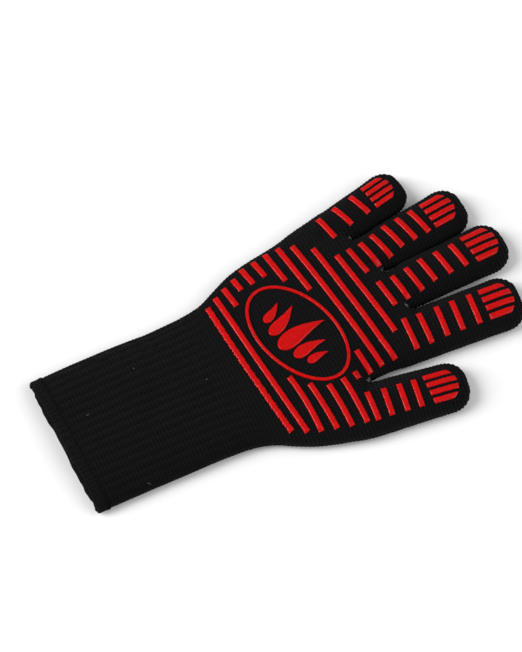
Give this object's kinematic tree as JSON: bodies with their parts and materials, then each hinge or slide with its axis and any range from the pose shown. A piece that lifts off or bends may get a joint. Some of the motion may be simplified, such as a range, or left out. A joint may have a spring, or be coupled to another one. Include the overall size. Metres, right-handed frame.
{
  "type": "heat resistant glove",
  "caption": "Right-hand knitted grilling glove with a long ribbed cuff, lying palm up, with raised red silicone bars, an oval ring and ribbed fingertip pads.",
  "frame": {"origin": "middle of the glove in plan, on the surface that it lies on", "axes": "+X from the cuff's mouth to the fingertips, +Y towards the little finger, +Z out of the palm"},
  "size_m": [0.3502, 0.1888, 0.0194],
  "materials": {
    "knit_black": "matt black aramid knit, stitches about 3 mm",
    "knit_hem": "matt black ribbed knit, folded and overlocked",
    "knit_liner": "soft dark grey cotton knit",
    "silicone_red": "semi-gloss red silicone, slightly worn on the fingertips"
  },
  "bodies": {
    "palm": {"palm_shell": "knit_black", "palm_liner": "knit_liner", "palm_bar_01": "silicone_red", "palm_bar_02": "silicone_red", "palm_bar_03_outer": "silicone_red", "palm_bar_03_inner": "silicone_red", "palm_bar_04_outer": "silicone_red", "palm_bar_04_inner": "silicone_red", "palm_bar_05_outer": "silicone_red", "palm_bar_05_inner": "silicone_red", "palm_bar_06_outer": "silicone_red", "palm_bar_06_inner": "silicone_red", "palm_bar_07": "silicone_red", "palm_bar_08": "silicone_red", "palm_bar_09": "silicone_red", "palm_bar_10": "silicone_red", "palm_bar_11": "silicone_red", "palm_oval_ring": "silicone_red"},
    "cuff": {"cuff_shell": "knit_black", "cuff_liner": "knit_liner", "cuff_hem": "knit_hem"},
    "thumb_base": {"thumb_base_shell": "knit_black", "thumb_base_liner": "knit_liner", "thumb_bar_1": "silicone_red", "thumb_bar_2": "silicone_red", "thumb_bar_3": "silicone_red"},
    "thumb_tip": {"thumb_tip_shell": "knit_black", "thumb_tip_liner": "knit_liner", "thumb_tip_pad": "silicone_red"},
    "index_base": {"index_base_shell": "knit_black", "index_base_liner": "knit_liner", "index_bar_1": "silicone_red", "index_bar_2": "silicone_red", "index_bar_3": "silicone_red"},
    "index_tip": {"index_tip_shell": "knit_black", "index_tip_liner": "knit_liner", "index_tip_pad": "silicone_red"},
    "middle_base": {"middle_base_shell": "knit_black", "middle_base_liner": "knit_liner", "middle_bar_1": "silicone_red", "middle_bar_2": "silicone_red", "middle_bar_3": "silicone_red"},
    "middle_tip": {"middle_tip_shell": "knit_black", "middle_tip_liner": "knit_liner", "middle_tip_pad": "silicone_red"},
    "ring_base": {"ring_base_shell": "knit_black", "ring_base_liner": "knit_liner", "ring_bar_1": "silicone_red", "ring_bar_2": "silicone_red", "ring_bar_3": "silicone_red"},
    "ring_tip": {"ring_tip_shell": "knit_black", "ring_tip_liner": "knit_liner", "ring_tip_pad": "silicone_red"},
    "little_base": {"little_base_shell": "knit_black", "little_base_liner": "knit_liner", "little_bar_1": "silicone_red", "little_bar_2": "silicone_red"},
    "little_tip": {"little_tip_shell": "knit_black", "little_tip_liner": "knit_liner", "little_tip_pad": "silicone_red"}
  },
  "joints": [
    {"name": "wrist_bend", "type": "hinge", "parent": "palm", "child": "cuff", "pos_m": [-0.04453, -0.00078, 0.0169], "axis": [0, 1, 0], "range_deg": [0, 60], "stiffness_Nm_per_rad": 0.02},
    {"name": "thumb_knuckle_bend", "type": "hinge", "parent": "palm", "child": "thumb_base", "pos_m": [0.03785, -0.06894, 0.0163], "axis": [-0.1045, -0.9945, 0], "range_deg": [0, 60], "stiffness_Nm_per_rad": 0.004},
    {"name": "thumb_tip_bend", "type": "hinge", "parent": "thumb_base", "child": "thumb_tip", "pos_m": [0.06848, -0.07372, 0.0163], "axis": [-0.1045, -0.9945, 0], "range_deg": [0, 70], "stiffness_Nm_per_rad": 0.004},
    {"name": "index_knuckle_bend", "type": "hinge", "parent": "palm", "child": "index_base", "pos_m": [0.09897, -0.03109, 0.0163], "axis": [0, -1, 0], "range_deg": [0, 75], "stiffness_Nm_per_rad": 0.004},
    {"name": "index_tip_bend", "type": "hinge", "parent": "index_base", "child": "index_tip", "pos_m": [0.13328, -0.03353, 0.0163], "axis": [-0.0174, -0.9998, 0], "range_deg": [0, 75], "stiffness_Nm_per_rad": 0.004},
    {"name": "middle_knuckle_bend", "type": "hinge", "parent": "palm", "child": "middle_base", "pos_m": [0.10926, 0.00739, 0.0163], "axis": [0.0349, -0.9994, 0], "range_deg": [0, 75], "stiffness_Nm_per_rad": 0.004},
    {"name": "middle_tip_bend", "type": "hinge", "parent": "middle_base", "child": "middle_tip", "pos_m": [0.14425, 0.00815, 0.0163], "axis": [0.0349, -0.9994, 0], "range_deg": [0, 75], "stiffness_Nm_per_rad": 0.004},
    {"name": "ring_knuckle_bend", "type": "hinge", "parent": "palm", "child": "ring_base", "pos_m": [0.09973, 0.0418, 0.0163], "axis": [0.0698, -0.9976, 0], "range_deg": [0, 75], "stiffness_Nm_per_rad": 0.004},
    {"name": "ring_tip_bend", "type": "hinge", "parent": "ring_base", "child": "ring_tip", "pos_m": [0.1312, 0.04464, 0.0163], "axis": [0.0872, -0.9962, 0], "range_deg": [0, 75], "stiffness_Nm_per_rad": 0.004},
    {"name": "little_knuckle_bend", "type": "hinge", "parent": "palm", "child": "little_base", "pos_m": [0.07593, 0.0713, 0.0158], "axis": [0.2079, -0.9781, 0], "range_deg": [0, 75], "stiffness_Nm_per_rad": 0.004},
    {"name": "little_tip_bend", "type": "hinge", "parent": "little_base", "child": "little_tip", "pos_m": [0.10108, 0.07606, 0.0158], "axis": [0.1736, -0.9848, 0], "range_deg": [0, 75], "stiffness_Nm_per_rad": 0.004}
  ]
}
